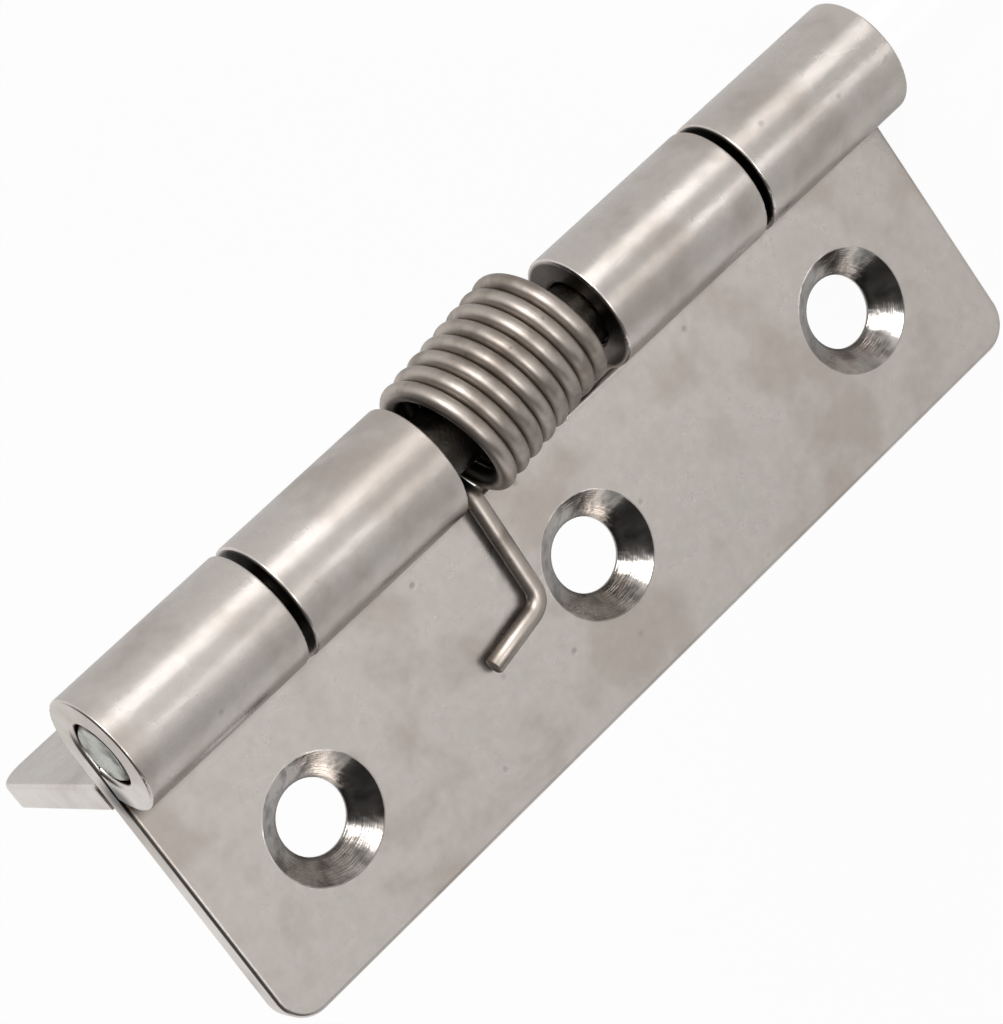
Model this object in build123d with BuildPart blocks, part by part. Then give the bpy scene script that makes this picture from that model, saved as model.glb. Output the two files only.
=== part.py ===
from build123d import *
from math import acos, asin, atan2, cos, degrees, hypot, radians, sin
import os

# A sprung butt hinge of stainless sheet, 76 mm long, drawn in millimetres.
# The origin is the centre of the middle screw hole on the front leaf's back face, which lies on the
# wall. +Z runs along the pin, -Y is the way the front leaf faces, and +X runs from the holes to the pin.
# The hinge is drawn at rest, where its spring holds it open as far as it goes.

# Leaves
leaf_length = 76.0
leaf_width = 24.6
sheet_thickness = 2.1
corner_radius = 2.5
front_edge_round = 0.35
back_edge_round = 0.2
rest_opening = 273.6

# Barrel
barrel_diameter = 9.4
end_knuckle_length = 14.6
knuckle_clearance = 0.7
notch_clearance = 0.15
notch_corner_radius = 0.5
curl_seam = 0.1

# Screw holes
hole_count = 3
hole_spacing = 27.6
hole_to_pin = 14.7
hole_diameter = 5.4
countersink_diameter = 9.1
countersink_angle = 90.0

# Pin
pin_clearance = 0.06
pin_recess = 0.15
pin_end_chamfer = 0.4

# Spring
wire_diameter = 1.4
coil_diameter = 10.7
turn_gap = 0.06
full_turns = 8
coil_lean = 7.0
coil_play = 0.45
coil_slide = 0.2
coil_end_clearance = 0.86
leg_gap = 0.05
leg_reach = 14.0
leg_drift = 0.35
leg_return = 5.9
leg_splay = 10.0
leg_bend_radius = 1.5
landing_bend_radius = 0.9

# Sizes that follow
barrel_radius = barrel_diameter / 2
bore_radius = barrel_radius - sheet_thickness
pin_radius = bore_radius - pin_clearance
outer_end_angle = -degrees(asin((bore_radius - curl_seam) / barrel_radius))
inner_end_angle = -degrees(asin((bore_radius - front_edge_round) / bore_radius))
pin_centre = Vector(hole_to_pin, -barrel_radius, 0)
notch_edge = max(barrel_diameter, coil_diameter) / 2 + notch_clearance
past_end = barrel_diameter
coil_radius = (coil_diameter - wire_diameter) / 2
turn_spacing = wire_diameter + turn_gap
lean_shift = full_turns * turn_spacing / 2 * sin(radians(coil_lean))
lean_height = coil_diameter * sin(radians(coil_lean))
spring_space = full_turns * turn_spacing + wire_diameter + lean_height + 2 * coil_end_clearance
leg_height = bore_radius - wire_diameter / 2 - leg_gap

# Frames on the pin axis at half length: local x runs out along the leaf, local y is the way it faces.
front_frame = Plane(origin=pin_centre, x_dir=(-1, 0, 0), z_dir=(0, 0, 1))
opening = radians(rest_opening)
back_frame = Plane(origin=pin_centre, x_dir=(-cos(opening), -sin(opening), 0), z_dir=(0, 0, -1))


def knuckle(frame, start, end):
    """A stretch of the sheet's curl round the pin, from start to end along it, its edges rounded.

    It leaves the leaf as a tangent, so the leaf's back is level with its outside, and it ends
    against the leaf's front."""
    with BuildPart() as curl:
        with BuildSketch(frame.offset(start)):
            with BuildLine():
                outside = CenterArc((0, 0), barrel_radius, -90, outer_end_angle - 270)
                inside = CenterArc((0, 0), bore_radius, inner_end_angle, 270 - inner_end_angle)
                Line(outside @ 0, inside @ 1)
                Line(outside @ 1, inside @ 0)
            make_face()
        extrude(amount=end - start)
        fillet(curl.edges().filter_by(GeomType.CIRCLE).group_by(SortBy.RADIUS)[0], front_edge_round)
        fillet(curl.edges().filter_by(GeomType.CIRCLE).group_by(SortBy.RADIUS)[-1], back_edge_round)
    return curl.part


def outline_edges(face, frame):
    """The edges round a flat side of a leaf, without the lines where the sheet starts to curl."""
    outline = face.outer_wire().edges()
    return outline - outline.group_by(Axis((0, 0, 0), frame.x_dir))[0]


def folded_leaf(frame, stretches, notches):
    """One leaf: a flat of sheet with screw holes, curled round the pin along the given stretches.

    notches lists where the flat is cut back for its neighbours, each as a start and an end."""
    knuckles = [knuckle(frame, start, end) for start, end in stretches]
    front_plane = Plane(
        origin=frame.origin - frame.y_dir * bore_radius, x_dir=frame.x_dir, z_dir=frame.y_dir
    )
    across = Axis((0, 0, 0), frame.x_dir)
    upright = Axis((0, 0, 0), frame.y_dir)
    with BuildPart() as leaf:
        with BuildSketch(front_plane):
            with Locations((leaf_width / 2, 0)):
                Rectangle(leaf_width, leaf_length)
            for start, end in notches:
                with Locations(((notch_edge - past_end) / 2, (start + end) / 2)):
                    RectangleRounded(
                        notch_edge + past_end, end - start, notch_corner_radius, mode=Mode.SUBTRACT
                    )
        extrude(amount=-sheet_thickness)
        fillet(leaf.edges().filter_by(upright).group_by(across)[-1], corner_radius)
        with Locations(front_plane):
            with Locations((hole_to_pin, 0)):
                with GridLocations(0, hole_spacing, 1, hole_count):
                    CounterSinkHole(
                        hole_diameter / 2, countersink_diameter / 2, sheet_thickness, countersink_angle
                    )
        fillet(outline_edges(leaf.faces().sort_by(upright)[-1], frame), front_edge_round)
        fillet(outline_edges(leaf.faces().sort_by(upright)[0], frame), back_edge_round)
        add(knuckles)
    return leaf


def leaving_angle(out, up):
    """How far past its lowest point the coil lets a leg go, so that it is level at the notch's edge.

    out and up are where the end of the coil stands off the pin axis, in its leaf's frame."""
    reach = notch_edge - out
    drop = leg_height + up + landing_bend_radius
    return degrees(atan2(reach, drop) - acos((coil_radius + landing_bend_radius) / hypot(reach, drop)))


def leg_points(frame, start, heading):
    """The corners of a leg that starts along heading: where it comes level, its bend and its tip."""
    rise = (-leg_height - frame.to_local_coords(start).Y) / heading.dot(frame.y_dir)
    landing = frame.to_local_coords(start + heading * rise)
    bend = Vector(leg_reach, landing.Y, landing.Z + leg_drift)
    tip = bend + Vector(0, 0, leg_return).rotate(Axis.Y, leg_splay)
    return [start] + [frame.from_local_coords(point) for point in (landing, bend, tip)]


# Front leaf, which carries the two end knuckles
half_length = leaf_length / 2
middle_start = half_length - end_knuckle_length
front_leaf = folded_leaf(
    front_frame,
    [(-half_length, -middle_start), (middle_start, half_length)],
    [(-middle_start, middle_start)],
)
front_leaf.part.label = "front_leaf"

# Back leaf, which carries the two middle knuckles on either side of the spring
middle_end = middle_start - knuckle_clearance
middle_gap = spring_space / 2
beyond_leaf = half_length + past_end
back_leaf = folded_leaf(
    back_frame,
    [(-middle_end, -middle_gap), (middle_gap, middle_end)],
    [(-beyond_leaf, -middle_end), (-middle_gap, middle_gap), (middle_end, beyond_leaf)],
)
back_leaf.part.label = "back_leaf"

# Pin, held in the end knuckles a little below their mouths
with BuildPart() as pin:
    with BuildSketch(Plane(origin=pin_centre).offset(-leaf_length / 2 + pin_recess)):
        Circle(pin_radius)
    extrude(amount=leaf_length - 2 * pin_recess)
    chamfer(pin.edges().filter_by(GeomType.CIRCLE), pin_end_chamfer)
pin.part.label = "pin"

# Spring, one wire wound right-handed round the pin. Its legs press it off the pin's middle, aslant. A leg
# leaves each end of the coil as a tangent, comes level over its leaf's face and bends beside the pin.
back_leg_at = rest_opening - 90 - leaving_angle(0, lean_shift + coil_play)
front_leg_at = 90 + leaving_angle(lean_shift - coil_play, 0)
coil_height = (full_turns + (front_leg_at - back_leg_at) / 360) * turn_spacing
coil_centre = Location(pin_centre + Vector(coil_play, 0, coil_slide))
coil_place = coil_centre * Rot(Y=-coil_lean) * Pos(Z=-coil_height / 2) * Rot(Z=back_leg_at)
turns = coil_place * Helix(turn_spacing, coil_height, coil_radius)
front_leg = leg_points(front_frame, turns @ 1, turns % 1)
back_leg = leg_points(back_frame, turns @ 0, turns % 0 * -1)

with BuildPart() as spring:
    with BuildLine():
        add(turns)
    with BuildSketch(Plane(origin=turns @ 0, z_dir=turns % 0)):
        Circle(wire_diameter / 2)
    sweep(is_frenet=True)
    for points in (front_leg, back_leg):
        with BuildLine():
            leg = FilletPolyline(*points, radius=(landing_bend_radius, leg_bend_radius))
        with BuildSketch(Plane(origin=leg @ 0, z_dir=leg % 0)):
            Circle(wire_diameter / 2)
        sweep()
spring.part.label = "spring"

os.makedirs("parts", exist_ok=True)
export_step(front_leaf.part, "parts/front_leaf.step")
export_step(back_leaf.part, "parts/back_leaf.step")
export_step(pin.part, "parts/pin.step")
export_step(spring.part, "parts/spring.step")
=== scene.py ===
import math

import bpy
import numpy as np
from mathutils import Matrix, Vector


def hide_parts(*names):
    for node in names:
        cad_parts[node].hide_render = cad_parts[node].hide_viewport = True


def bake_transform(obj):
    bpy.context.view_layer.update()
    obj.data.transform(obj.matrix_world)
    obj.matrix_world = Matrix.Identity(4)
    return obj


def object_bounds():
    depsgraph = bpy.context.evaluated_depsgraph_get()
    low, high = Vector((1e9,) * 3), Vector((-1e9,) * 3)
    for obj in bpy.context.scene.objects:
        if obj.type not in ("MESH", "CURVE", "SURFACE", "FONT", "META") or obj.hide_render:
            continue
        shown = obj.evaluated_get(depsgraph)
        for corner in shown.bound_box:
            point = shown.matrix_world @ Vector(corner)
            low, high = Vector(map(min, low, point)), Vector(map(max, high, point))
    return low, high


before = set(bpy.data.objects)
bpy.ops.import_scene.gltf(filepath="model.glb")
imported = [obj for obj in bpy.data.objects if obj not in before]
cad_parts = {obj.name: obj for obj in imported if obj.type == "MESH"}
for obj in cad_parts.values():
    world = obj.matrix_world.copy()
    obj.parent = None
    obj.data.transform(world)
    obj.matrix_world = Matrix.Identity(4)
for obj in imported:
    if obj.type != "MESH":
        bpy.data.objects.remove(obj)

cad_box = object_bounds()

# Leaves: two stainless sheets, each blanked with its knuckles, curled round the pin, countersunk for
# three screws and then tumbled, which leaves soft stains, pits and a satin gloss. The countersinks keep
# their turning marks and are painted darker as shade, most at the rim; painted shade also lies beside
# the barrel and between the knuckles. The CAD leaves stay.
pin_axis = Vector((0.0147, -0.0047, 0))
rest_opening = math.radians(273.6)
knuckle_radius = 0.0047
back_level = -0.0046
hole_spacing = 0.0276
hole_to_pin = 0.0147
countersink_radius = 0.00455
countersink_edge = 0.0001
rim_shade_from, rim_shade_full = 0.0032, 0.0028
turning_marks = (9000, 2.2, 1)
chatter_marks = (700, 3, 1)
chatter_start, chatter_full = 0.45, 0.65
least_cone_shade, most_cone_shade = 0.35, 0.95
chatter_relief = 3
seam_out, seam_depth = 0.00398, 0.00252
seam_shade_width = 0.0023
gap_shade_start, gap_shade_full = 0.0001, 0.0004
open_end = 0.0377
leaf_clean = (0.585, 0.541, 0.507, 1)
leaf_stain = (0.485, 0.432, 0.392, 1)
leaf_roughness, leaf_roughness_spread = 0.3, 0.35
turned_roughness = 0.17
countersink_shade_colour = (0.19, 0.18, 0.17, 1)
crease_shade_colour = (0.045, 0.034, 0.027, 1)
leaf_relief = 0.000012

# Tumbling marks, as cells of pattern in a metre and the limits that their noise is cut at.
stain_scale, grain_scale, pit_scale = 150, 1100, 420
stain_start, stain_full = 0.44, 0.66
grain_low, grain_high = 0.25, 0.75
grain_darkest, grain_lightest = 0.95, 1.05
pitted_above = 0.82
pit_rim, pit_floor = 0.14, 0.05
pit_shade, pit_depth = 0.72, 1.2


def add_node(tree, kind, inputs, **settings):
    """One shader node with its settings; each input is a value, or the output that feeds it."""
    node = tree.nodes.new(kind)
    for name, value in settings.items():
        setattr(node, name, value)
    for name, value in inputs.items():
        if isinstance(value, bpy.types.NodeSocket):
            tree.links.new(value, node.inputs[name])
        else:
            node.inputs[name].default_value = value
    return node


def worked(tree, operation, *values, kind="Math", gives="Value"):
    """What one step of arithmetic makes of numbers, or of vectors where kind is VectorMath."""
    inputs = dict(enumerate(values))
    return add_node(tree, "ShaderNode" + kind, inputs, operation=operation).outputs[gives]


def ramp(tree, value, start, end, low=0, high=1, curve="LINEAR"):
    """low where value is at start, high where it is at end, and held beyond both."""
    limits = {"Value": value, "From Min": start, "From Max": end, "To Min": low, "To Max": high}
    return add_node(tree, "ShaderNodeMapRange", limits, interpolation_type=curve).outputs["Result"]


def mixed(tree, share, a, b, kind="FLOAT"):
    """a where share is 0, b where it is 1."""
    inputs = {"Factor": share, "A": a, "B": b}
    return add_node(tree, "ShaderNodeMix", inputs, data_type=kind).outputs["Result"]


def make_tumbled_group():
    """Tumbled steel on a position in metres: stains drift between two colours, a few pits darken
    it, and fine grain moves its shade and relief."""
    group = bpy.data.node_groups.new("tumbled_steel", "ShaderNodeTree")
    for side, name, kind in (
        ("INPUT", "Position", "Vector"),
        ("INPUT", "Clean Colour", "Color"),
        ("INPUT", "Stain Colour", "Color"),
        ("INPUT", "Roughness", "Float"),
        ("INPUT", "Spread", "Float"),
        ("OUTPUT", "Colour", "Color"),
        ("OUTPUT", "Roughness", "Float"),
        ("OUTPUT", "Height", "Float"),
    ):
        group.interface.new_socket(name, in_out=side, socket_type="NodeSocket" + kind)
    given = group.nodes.new("NodeGroupInput").outputs
    made = group.nodes.new("NodeGroupOutput").inputs
    position = given["Position"]

    stains = add_node(
        group, "ShaderNodeTexNoise",
        {"Vector": position, "Scale": stain_scale, "Detail": 4, "Roughness": 0.55, "Distortion": 0.2},
    ).outputs["Fac"]
    stained = ramp(group, stains, stain_start, stain_full, curve="SMOOTHSTEP")
    tint = mixed(group, stained, given["Clean Colour"], given["Stain Colour"], kind="RGBA")
    grain = add_node(
        group, "ShaderNodeTexNoise",
        {"Vector": position, "Scale": grain_scale, "Detail": 3, "Roughness": 0.6},
    ).outputs["Fac"]
    grain_shade = ramp(group, grain, grain_low, grain_high, grain_darkest, grain_lightest)

    cells = add_node(group, "ShaderNodeTexVoronoi", {"Vector": position, "Scale": pit_scale}).outputs
    lot = add_node(group, "ShaderNodeSeparateColor", {"Color": cells["Color"]}).outputs["Red"]
    pitted = worked(group, "GREATER_THAN", lot, pitted_above)
    pit = worked(group, "MULTIPLY", pitted, ramp(group, cells["Distance"], pit_rim, pit_floor))
    shade = worked(group, "MULTIPLY", grain_shade, ramp(group, pit, 0, 1, 1, pit_shade))
    colour = add_node(group, "ShaderNodeVectorMath", {0: tint, "Scale": shade}, operation="SCALE")
    group.links.new(colour.outputs["Vector"], made["Colour"])

    drift = worked(group, "SUBTRACT", stains, 0.5)
    gloss = worked(group, "MULTIPLY_ADD", drift, given["Spread"], given["Roughness"])
    group.links.new(gloss, made["Roughness"])
    group.links.new(worked(group, "MULTIPLY_ADD", pit, -pit_depth, grain), made["Height"])
    return group


def new_metal(name):
    """A bare metal: the material, its node tree, its surface and its place in metres."""
    material = bpy.data.materials.new(name)
    material.use_nodes = True
    tree = material.node_tree
    surface = tree.nodes["Principled BSDF"].inputs
    surface["Metallic"].default_value = 1
    return material, tree, surface, add_node(tree, "ShaderNodeTexCoord", {}).outputs["Object"]


def dress(tree, surface, colour, roughness, height, relief):
    """Gives a metal its colour, its roughness and its relief, which is in metres at a height of 1."""
    bump = add_node(tree, "ShaderNodeBump", {"Strength": 1, "Distance": relief, "Height": height})
    tree.links.new(colour, surface["Base Color"])
    tree.links.new(roughness, surface["Roughness"])
    tree.links.new(bump.outputs["Normal"], surface["Normal"])


def place_along(tree, place, directions, centre):
    """A place measured from a centre, along the directions that are given as rows."""
    return add_node(
        tree, "ShaderNodeMapping",
        {"Vector": place, "Rotation": directions.to_euler(), "Location": -(directions @ centre)},
    ).outputs["Vector"]


def leaf_directions(opening, along):
    """A leaf's own axes as rows: out from the pin, the way it faces, and along the pin."""
    out = Vector((-math.cos(opening), -math.sin(opening), 0))
    lengthwise = Vector((0, 0, along))
    return Matrix((out, lengthwise.cross(out), lengthwise))


def leaf_material(name, directions):
    """Tumbled steel laid out on a leaf's own axes, with turned countersinks that are painted darker as
    shade, and with painted shade beside the barrel and between the knuckles."""
    material, tree, surface, place = new_metal(name)
    on_leaf = place_along(tree, place, directions, pin_axis)
    finish = add_node(
        tree, "ShaderNodeGroup",
        {
            "Position": on_leaf,
            "Clean Colour": leaf_clean,
            "Stain Colour": leaf_stain,
            "Roughness": leaf_roughness,
            "Spread": leaf_roughness_spread,
        },
        node_tree=tumbled_steel,
    ).outputs
    out, face, along = add_node(tree, "ShaderNodeSeparateXYZ", {"Vector": on_leaf}).outputs

    # The row of holes is folded onto one, so distance and angle are taken from the nearest hole.
    across = worked(tree, "SUBTRACT", out, hole_to_pin)
    folded = worked(tree, "WRAP", along, hole_spacing / 2, -hole_spacing / 2)
    spot = add_node(tree, "ShaderNodeCombineXYZ", {"X": across, "Y": folded}).outputs["Vector"]
    distance = worked(tree, "LENGTH", spot, kind="VectorMath")
    angle = worked(tree, "ARCTAN2", folded, across)
    near_hole = ramp(tree, distance, countersink_radius + countersink_edge, countersink_radius)
    off_back = worked(tree, "GREATER_THAN", face, back_level)
    turned = worked(tree, "MULTIPLY", near_hole, off_back)
    polar = add_node(tree, "ShaderNodeCombineXYZ", {"X": distance, "Y": angle}).outputs["Vector"]
    rings, chatter = (
        add_node(
            tree, "ShaderNodeTexNoise",
            {
                "Vector": worked(tree, "MULTIPLY", polar, marks, kind="VectorMath", gives="Vector"),
                "Scale": 1,
                "Detail": 2,
            },
        ).outputs["Fac"]
        for marks in (turning_marks, chatter_marks)
    )
    turning = worked(tree, "MULTIPLY_ADD", chatter, chatter_relief, rings)
    # Painted shade: the cones are darkened for shade and dark reflection, most at the rim; chatter
    # noise varies how much.
    chatter_with_shade = ramp(tree, chatter, chatter_start, chatter_full, least_cone_shade, most_cone_shade)
    shade_at_rim = ramp(tree, distance, rim_shade_from, rim_shade_full)
    shade_in_cone = worked(tree, "MULTIPLY", turned, worked(tree, "MAXIMUM", chatter_with_shade, shade_at_rim))
    steel = mixed(tree, shade_in_cone, finish["Colour"], countersink_shade_colour, kind="RGBA")

    # Painted shade lies along the seam, where the curl's end meets the leaf, and on the knuckles' ends
    # inside the barrel; the barrel's two outer ends get none.
    section = add_node(tree, "ShaderNodeCombineXYZ", {"X": out, "Y": face}).outputs["Vector"]
    from_seam = worked(tree, "DISTANCE", section, (seam_out, -seam_depth, 0), kind="VectorMath")
    shade_by_seam = ramp(tree, from_seam, seam_shade_width, seam_shade_width / 3, curve="SMOOTHSTEP")
    from_pin = worked(tree, "LENGTH", section, kind="VectorMath")
    in_barrel = ramp(
        tree, from_pin, knuckle_radius - gap_shade_start, knuckle_radius - gap_shade_full
    )
    shut_in = worked(tree, "LESS_THAN", worked(tree, "ABSOLUTE", along), open_end)
    shade_in_gap = worked(tree, "MULTIPLY", in_barrel, shut_in)
    shade_in_creases = worked(tree, "MAXIMUM", shade_by_seam, shade_in_gap)
    dress(
        tree, surface,
        colour=mixed(tree, shade_in_creases, steel, crease_shade_colour, kind="RGBA"),
        roughness=mixed(tree, turned, finish["Roughness"], turned_roughness),
        height=mixed(tree, turned, finish["Height"], turning),
        relief=leaf_relief,
    )
    return material


tumbled_steel = make_tumbled_group()
front_directions = leaf_directions(0, 1)
back_directions = leaf_directions(rest_opening, -1)
for leaf, directions in (("front_leaf", front_directions), ("back_leaf", back_directions)):
    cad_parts[leaf].data.materials.clear()
    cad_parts[leaf].data.materials.append(leaf_material(leaf + "_steel", directions))


# Pin: a drawn rod, held in the front leaf's end knuckles a little below their mouths. Its cropped ends
# are greener and duller than the sheet, and its side is painted near black as shade. The CAD pin stays.
pin_radius = 0.00254
end_face_rim, end_face_shade = 0.0005, 0.0002
pin_clean = (0.36, 0.36, 0.33, 1)
pin_stain = (0.09, 0.092, 0.08, 1)
# The near-black colour of painted shade, on the pin's side and on the spring's hidden sides.
painted_shade_colour = (0.05, 0.043, 0.037, 1)


def steel_with_painted_shade(name, clean, stain, roughness, spread, relief, fineness, shade_where):
    """A tumbled metal whose pattern is drawn finer by fineness, and which is painted near black as
    shade where its mask, a function of the shader tree and the place in metres, gives 1."""
    material, tree, surface, place = new_metal(name)
    finer = add_node(
        tree, "ShaderNodeVectorMath", {0: place, "Scale": fineness}, operation="SCALE"
    ).outputs["Vector"]
    finish = add_node(
        tree, "ShaderNodeGroup",
        {
            "Position": finer,
            "Clean Colour": clean,
            "Stain Colour": stain,
            "Roughness": roughness,
            "Spread": spread,
        },
        node_tree=tumbled_steel,
    ).outputs
    # Painted shade: where the mask gives 1, the colour goes near black.
    colour = mixed(tree, shade_where(tree, place), finish["Colour"], painted_shade_colour, kind="RGBA")
    dress(tree, surface, colour, finish["Roughness"], finish["Height"], relief)
    return material


def beside_pin(tree, place):
    """1 on the pin's side and the edge of its ends, 0 on the ends' cropped faces."""
    across = worked(tree, "MULTIPLY", place, (1, 1, 0), kind="VectorMath", gives="Vector")
    radius = worked(tree, "DISTANCE", across, pin_axis, kind="VectorMath")
    return ramp(tree, radius, pin_radius - end_face_rim, pin_radius - end_face_shade)


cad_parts["pin"].data.materials.clear()
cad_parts["pin"].data.materials.append(
    steel_with_painted_shade(
        "pin_steel", pin_clean, pin_stain,
        roughness=0.32, spread=0.6, relief=0.00003, fineness=3.5, shade_where=beside_pin,
    )
)


# Spring: one drawn stainless wire, wound right-handed round the pin, with painted shade on the inside
# of its turns and under its legs. A leg leaves each end of the coil as a tangent, comes level over its
# leaf and bends beside the pin. The coil twists as the leaves fold; here the wire is one piece.
wire_radius = 0.0007
coil_radius = 0.00465
turn_spacing = 0.00146
full_turns = 8
coil_lean = math.radians(7)
coil_play, coil_slide = 0.00045, 0.0002
lean_shift = full_turns * turn_spacing / 2 * math.sin(coil_lean)
leg_height = 0.00185
leaf_notch = 0.0055
leg_reach, leg_drift, leg_return = 0.014, 0.00035, 0.0059
leg_splay = math.radians(10)
landing_bend, leg_bend = 0.0009, 0.0015
end_round = 0.00012
points_per_turn, points_per_bend, points_around = 64, 13, 28
leg_shade_start, leg_shade_full = wire_radius * 0.55, wire_radius * 0.1
wire_clean = (0.42, 0.373, 0.333, 1)
wire_stain = (0.28, 0.239, 0.207, 1)


def unit(v):
    """Vectors of length 1 that point the same way."""
    return v / np.linalg.norm(v, axis=-1, keepdims=True)


def leaving_angle(out, up):
    """How far past its lowest point the coil lets a leg go, so that it is level where its leaf
    starts: the angle to a bend's centre, less the angle that the coil and the bend span."""
    reach = leaf_notch - out
    drop = leg_height + up + landing_bend
    span = math.acos((coil_radius + landing_bend) / math.hypot(reach, drop))
    return math.atan2(reach, drop) - span


def leg_path(directions, start, heading):
    """A leg from the coil's end: down to its level over the leaf, out along it, then beside the
    pin. Each corner is an arc: its centre plus its two ends, weighted by the sines of the turn
    still to go and gone."""
    axes = np.array(directions)
    centre = np.array(pin_axis)
    height = axes[1] @ (start - centre)
    landing = start + heading * (-leg_height - height) / (heading @ axes[1])
    _, level, shift = axes @ (landing - centre)
    bend = axes.T @ (leg_reach, level, shift + leg_drift) + centre
    tip = bend + axes.T @ (math.sin(leg_splay), 0, math.cos(leg_splay)) * leg_return
    path = [start[None]]
    corners = (start, landing, bend, tip)
    radii = (landing_bend, leg_bend)
    for before, corner, after, radius in zip(corners, corners[1:], corners[2:], radii):
        back, ahead = unit(before - corner), unit(after - corner)
        half = math.acos(back @ ahead) / 2
        middle = corner + unit(back + ahead) * radius / math.sin(half)
        first, last = (corner + way * radius / math.tan(half) - middle for way in (back, ahead))
        turn = math.pi - 2 * half
        gone = np.linspace(0, turn, points_per_bend)[:, None]
        to_go = turn - gone
        path.append(middle + (np.sin(to_go) * first + np.sin(gone) * last) / math.sin(turn))
    return np.concatenate(path + [tip[None]])


def wire_path():
    """The whole wire. The coil is a helix: angle a puts a point at coil_radius (cos a, sin a) and
    at a / 2 pi turn spacings along the coil, which leans by coil_lean and stands off the pin's
    middle by coil_play."""
    first = rest_opening - math.pi / 2 - leaving_angle(0, lean_shift + coil_play)
    last = math.pi / 2 + leaving_angle(lean_shift - coil_play, 0) + 2 * math.pi * full_turns
    angle = np.linspace(first, last, points_per_turn * full_turns)
    rise = turn_spacing / (2 * math.pi)
    x, y = coil_radius * np.cos(angle), coil_radius * np.sin(angle)
    z = rise * (angle - (first + last) / 2)
    lean = np.array(Matrix.Rotation(-coil_lean, 3, "Y"))
    offset = np.array(pin_axis) + (coil_play, 0, coil_slide)
    coil = np.stack((x, y, z), axis=1) @ lean.T + offset
    ends = np.array(
        [(-coil_radius * math.sin(a), coil_radius * math.cos(a), rise) for a in (first, last)]
    )
    heading = unit(ends @ lean.T)
    back_leg = leg_path(back_directions, coil[0], -heading[0])
    front_leg = leg_path(front_directions, coil[-1], heading[1])
    return np.concatenate((back_leg[:0:-1], coil, front_leg[1:]))


def swept_round(name, path, radius, rounding, around):
    """A round bar along a path: the point at angle b of ring i is path[i] + radius (cos b side[i]
    + sin b lift[i]), where side and lift are square to the path and are carried along it without
    twist. The first and last rings are drawn in by the rounding and closed on the path's ends."""
    along = unit(np.gradient(path, axis=0))
    path = np.concatenate((path[:1], path, path[-1:]))
    along = np.concatenate((along[:1], along, along[-1:]))
    path[1] += along[0] * rounding
    path[-2] -= along[-1] * rounding
    radii = np.full(len(path), radius)
    radii[[0, -1]] -= rounding
    too_upright = 0.7
    not_along = (0, 0, 1) if abs(along[0, 2]) < too_upright else (1, 0, 0)
    side = [unit(np.cross(along[0], not_along))]
    for direction in along[1:]:
        side.append(unit(side[-1] - direction * (side[-1] @ direction)))
    side = np.array(side)
    lift = np.cross(along, side)
    b = np.linspace(0, 2 * math.pi, around, endpoint=False)[None, :, None]
    spokes = np.cos(b) * side[:, None] + np.sin(b) * lift[:, None]
    rings = path[:, None] + radii[:, None, None] * spokes
    points = np.concatenate((rings.reshape(-1, 3), path[:1], path[-1:]))

    here = np.arange(around)
    beside = np.roll(here, -1)
    row = np.arange(len(path) - 1)[:, None] * around
    quads = np.stack(
        (row + here, row + beside, row + around + beside, row + around + here), axis=-1
    ).reshape(-1, 4)
    top = row[-1] + around
    first_fan = np.stack((np.full(around, len(points) - 2), beside, here), axis=-1)
    last_fan = np.stack((np.full(around, len(points) - 1), top + here, top + beside), axis=-1)
    faces = quads.tolist() + first_fan.tolist() + last_fan.tolist()
    mesh = bpy.data.meshes.new(name)
    mesh.from_pydata(points.tolist(), [], faces)
    mesh.shade_smooth()
    piece = bpy.data.objects.new(name, mesh)
    bpy.context.scene.collection.objects.link(piece)
    return piece


def shut_in_wire(tree, place):
    """1 on the turns' side that faces the pin and the legs' side that faces their leaf: painted shade.
    """
    lean_back = Matrix.Rotation(coil_lean, 3, "Y")
    coil_middle = pin_axis + Vector((coil_play, 0, coil_slide))
    on_coil = place_along(tree, place, lean_back, coil_middle)
    across = worked(tree, "MULTIPLY", on_coil, (1, 1, 0), kind="VectorMath", gives="Vector")
    radius = worked(tree, "LENGTH", across, kind="VectorMath")
    hidden = ramp(tree, radius, coil_radius, coil_radius - wire_radius / 2)
    for directions in (front_directions, back_directions):
        on_leaf = place_along(tree, place, directions, pin_axis)
        out, face, _ = add_node(tree, "ShaderNodeSeparateXYZ", {"Vector": on_leaf}).outputs
        over_leaf = worked(tree, "GREATER_THAN", out, leaf_notch)
        below = ramp(tree, face, leg_shade_start - leg_height, leg_shade_full - leg_height)
        hidden = worked(tree, "MAXIMUM", hidden, worked(tree, "MULTIPLY", over_leaf, below))
    return hidden


spring_wire = swept_round("spring_wire", wire_path(), wire_radius, end_round, points_around)
spring_wire.data.materials.append(
    steel_with_painted_shade(
        "spring_steel", wire_clean, wire_stain,
        roughness=0.44, spread=0.3, relief=0.000006, fineness=2, shade_where=shut_in_wire,
    )
)
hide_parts("spring")
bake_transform(spring_wire)


# Floor: a wide white table with a slight gloss. The camera sees it faded to white with the hinge's
# shadow left on it, and the metal mirrors it darker than that.
floor_level = cad_box[0].z
half_floor = 3
floor_colour = (0.9, 0.9, 0.9, 1)
floor_seen_white = 0.95
floor_mirrored_white = 0.26


def white_share(tree, seen, mirrored):
    """How much plain white is mixed in: one share for the camera, one for what metal mirrors."""
    ray = add_node(tree, "ShaderNodeLightPath", {}).outputs
    bounced = worked(tree, "MAXIMUM", ray["Is Glossy Ray"], ray["Is Transmission Ray"])
    bounced_share = worked(tree, "MULTIPLY", bounced, mirrored)
    return worked(tree, "MULTIPLY_ADD", ray["Is Camera Ray"], seen, bounced_share)


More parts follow.
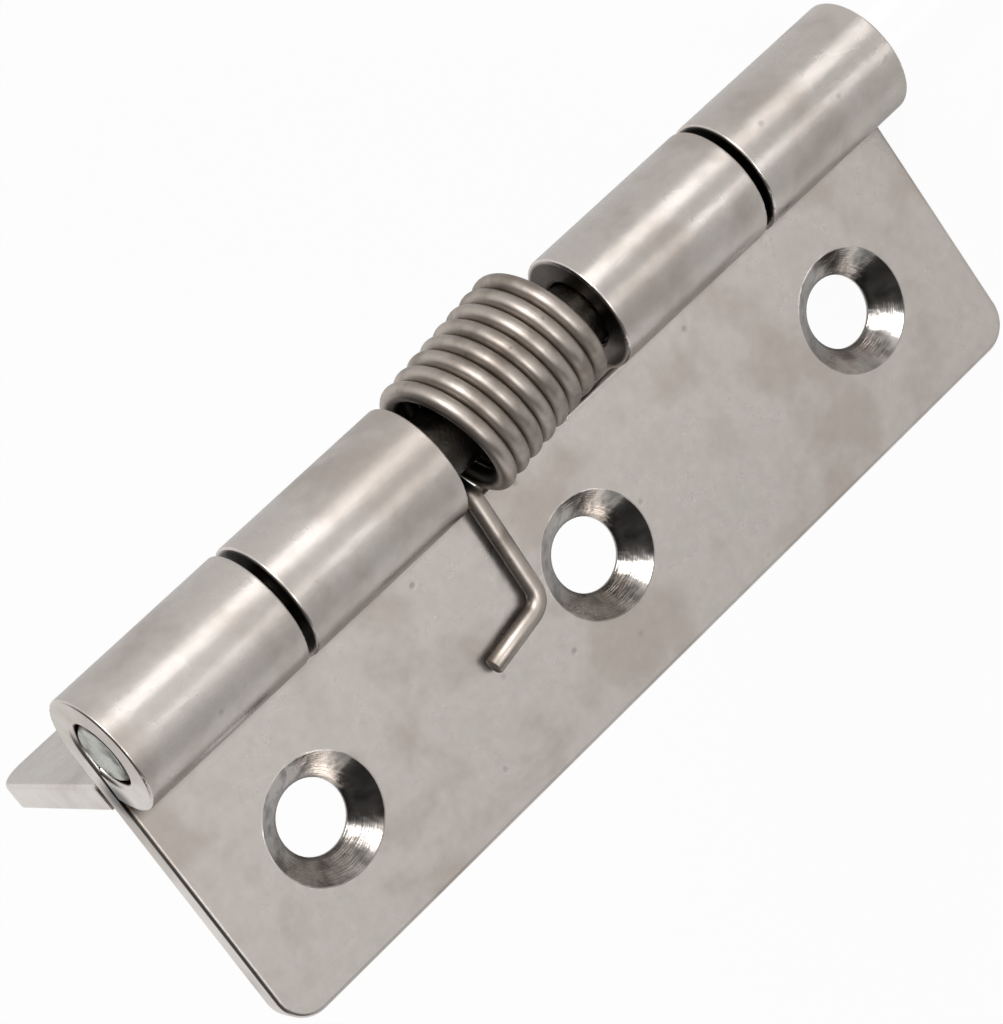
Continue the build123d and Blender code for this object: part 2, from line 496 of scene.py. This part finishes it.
corners = np.array(((-1, -1), (1, -1), (1, 1), (-1, 1))) * half_floor
floor_points = np.column_stack((corners, np.full(4, floor_level)))
floor_mesh = bpy.data.meshes.new("floor")
floor_mesh.from_pydata(floor_points.tolist(), [], [(0, 1, 2, 3)])
floor = bpy.data.objects.new("floor", floor_mesh)
bpy.context.scene.collection.objects.link(floor)
floor_paint = bpy.data.materials.new("floor_paint")
floor_paint.use_nodes = True
tree = floor_paint.node_tree
paint = tree.nodes["Principled BSDF"]
paint.inputs["Base Color"].default_value = floor_colour
paint.inputs["Roughness"].default_value = 0.9
paint.inputs["Coat Weight"].default_value = 1
paint.inputs["Coat Roughness"].default_value = 0.12
paint.inputs["Coat IOR"].default_value = 2
white = add_node(tree, "ShaderNodeEmission", {"Strength": 1}).outputs["Emission"]
share = white_share(tree, floor_seen_white, floor_mirrored_white)
lift = add_node(tree, "ShaderNodeMixShader", {"Fac": share, 1: paint.outputs["BSDF"], 2: white})
tree.links.new(lift.outputs["Shader"], tree.nodes["Material Output"].inputs["Surface"])
floor_mesh.materials.append(floor_paint)


# Room: white walls under a dark ceiling, with one dark screen out beyond the front leaf's free edge,
# which the metal mirrors as dark strips. The camera sees all of it as plain white.
wall_top, ceiling_edge = math.sin(math.radians(31)), math.sin(math.radians(46))
wall_level, ceiling_level = 1.06, 0.02
room_mirrored_white = 0.04
screen_azimuth, screen_half_width = math.radians(-140), math.radians(16)
screen_fade = 0.2
room = bpy.data.worlds.new("room")
room.use_nodes = True
tree = room.node_tree
direction = add_node(tree, "ShaderNodeTexCoord", {}).outputs["Generated"]
east, north, elevation = add_node(tree, "ShaderNodeSeparateXYZ", {"Vector": direction}).outputs
azimuth = worked(tree, "ARCTAN2", north, east)
from_screen = worked(tree, "ABSOLUTE", worked(tree, "SUBTRACT", azimuth, screen_azimuth))
unscreened = ramp(tree, from_screen, screen_half_width, screen_half_width + screen_fade)
height_level = ramp(
    tree, elevation, wall_top, ceiling_edge, wall_level, ceiling_level, curve="SMOOTHSTEP"
)
level = worked(tree, "MULTIPLY", height_level, unscreened)
strength = mixed(tree, white_share(tree, 1, room_mirrored_white), level, 1)
background = tree.nodes["Background"].inputs
background["Color"].default_value = (1, 1, 1, 1)
tree.links.new(strength, background["Strength"])
bpy.context.scene.world = room


def softbox(name, azimuth, elevation, distance, width, height, power):
    """A rectangular lamp that faces the hinge. Angles are in degrees: azimuth from +X to +Y."""
    turn, tilt = math.radians(azimuth), math.radians(elevation)
    level = Vector((math.cos(turn), math.sin(turn), 0))
    away = level * math.cos(tilt) + Vector((0, 0, math.sin(tilt)))
    lamp = bpy.data.lights.new(name, "AREA")
    lamp.shape = "RECTANGLE"
    lamp.size, lamp.size_y = width, height
    lamp.energy = power
    holder = bpy.data.objects.new(name, lamp)
    holder.location = pin_axis + away * distance
    holder.rotation_euler = away.to_track_quat("Z", "Y").to_euler()
    holder.visible_camera = False
    bpy.context.scene.collection.objects.link(holder)


softbox("window", azimuth=-43, elevation=20, distance=0.8, width=0.34, height=0.34, power=3.5)
softbox("strip", azimuth=-96, elevation=22, distance=0.8, width=0.14, height=0.3, power=1.4)


# Camera: the photograph's, worked out from the screw holes, the outline and the knuckle edges.
picture_width = 1003
focal_length_px = 4002
camera_place = (0.09062, -0.24106, 0.10889)
towards_camera = Vector((0.3046, -0.8722, 0.3827))
towards_picture_right = Vector((-0.5562, -0.4890, -0.6719))
camera_data = bpy.data.cameras.new("camera")
camera_data.sensor_fit = "HORIZONTAL"
camera_data.lens = camera_data.sensor_width * focal_length_px / picture_width
camera_data.clip_start, camera_data.clip_end = 0.01, 20
camera = bpy.data.objects.new("camera", camera_data)
back = towards_camera.normalized()
up = back.cross(towards_picture_right).normalized()
turned_to_view = Matrix((up.cross(back), up, back)).transposed().to_4x4()
camera.matrix_world = Matrix.Translation(camera_place) @ turned_to_view
bpy.context.scene.collection.objects.link(camera)
bpy.context.scene.camera = camera
bpy.context.scene.view_settings.view_transform = "Standard"
